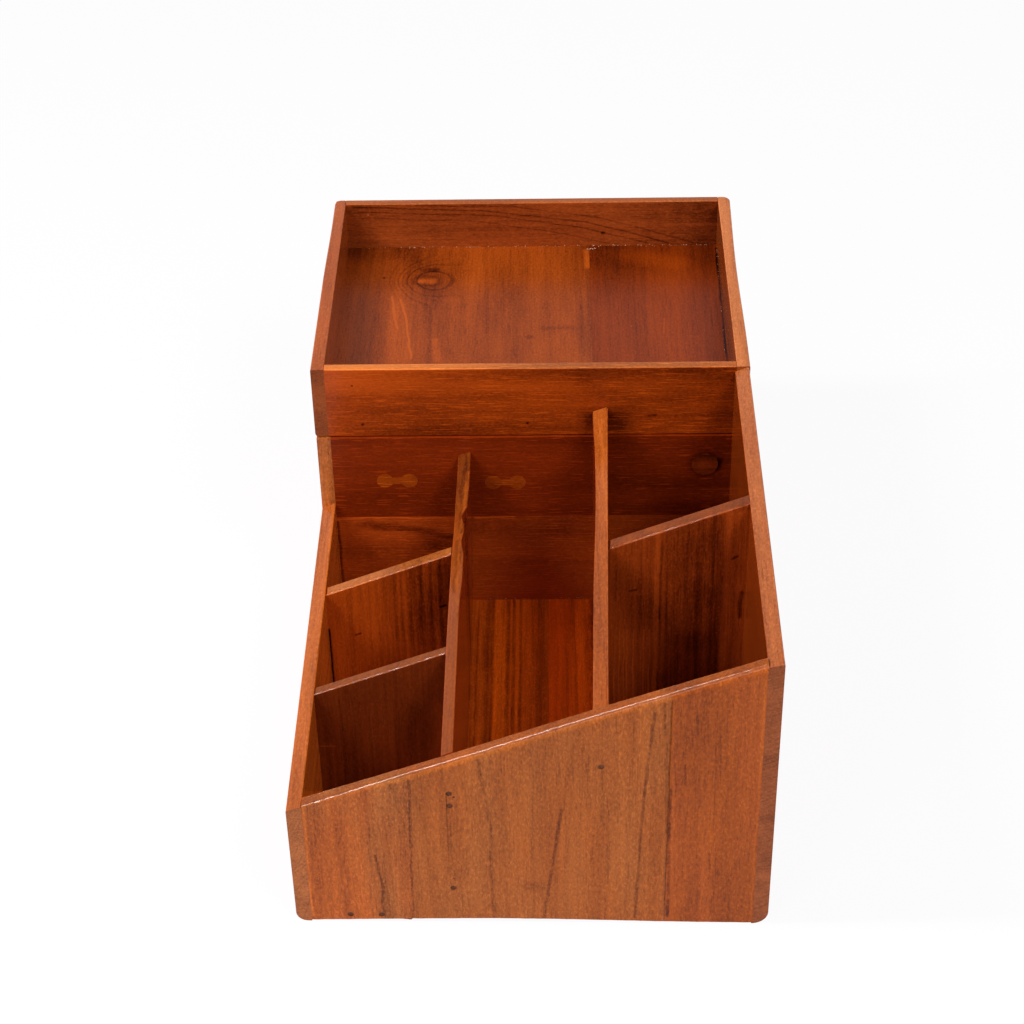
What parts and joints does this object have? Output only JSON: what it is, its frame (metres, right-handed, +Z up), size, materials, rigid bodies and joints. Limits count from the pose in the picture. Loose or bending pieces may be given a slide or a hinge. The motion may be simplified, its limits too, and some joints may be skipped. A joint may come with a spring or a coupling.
{
  "type": "desk organizer",
  "caption": "Wooden desk organizer: open front cells with sloping tops and a closed box behind, whose hinged lid is a shallow tray.",
  "frame": {"origin": "on the desk, at the middle of the underside of the bounding box", "axes": "+X across from the low side to the high side, +Y from the open front to the hinged back, +Z up"},
  "size_m": [0.204, 0.3682, 0.148],
  "materials": {
    "teak": "semi-gloss varnish",
    "dark_teak": "semi-gloss varnish",
    "plug_teak": "semi-gloss varnish",
    "brass": "satin",
    "pin_steel": "dull, oxidised"
  },
  "bodies": {
    "box": {"low_side_lower": "teak", "low_side_upper": "teak", "high_side_lower": "teak", "high_side_upper": "teak", "partition_left_front": "dark_teak", "partition_left_back": "dark_teak", "partition_right": "dark_teak", "front_pins": "pin_steel", "divider_left": "dark_teak", "divider_right": "dark_teak", "front_board_1": "teak", "front_board_2": "teak", "front_board_3": "teak", "base_strip_1": "dark_teak", "base_strip_2": "dark_teak", "base_strip_3": "dark_teak", "base_strip_4": "dark_teak", "base_strip_5": "dark_teak", "base_strip_6": "dark_teak", "base_strip_7": "dark_teak", "box_side_left": "teak", "box_side_right": "teak", "wall_board_lower": "dark_teak", "wall_board_upper": "dark_teak", "key_left": "plug_teak", "key_right": "plug_teak", "round_plug": "plug_teak", "box_hinge_screws": "brass", "back_board_lower": "teak", "back_board_upper": "teak", "hinge_left_box_leaf": "brass", "hinge_left_pin": "brass", "hinge_right_box_leaf": "brass", "hinge_right_pin": "brass"},
    "lid": {"lid_hinge_screws": "brass", "lid_rail_left": "teak", "lid_rail_right": "teak", "lid_rail_front": "teak", "lid_rail_back": "teak", "lid_floor_left": "dark_teak", "lid_floor_right": "dark_teak", "hinge_left_lid_leaf": "brass", "hinge_right_lid_leaf": "brass"}
  },
  "joints": [
    {"name": "lid_hinge", "type": "hinge", "parent": "box", "child": "lid", "pos_m": [0, 0.1821, 0.10965], "axis": [-1, 0, 0], "range_deg": [0, 100]}
  ]
}
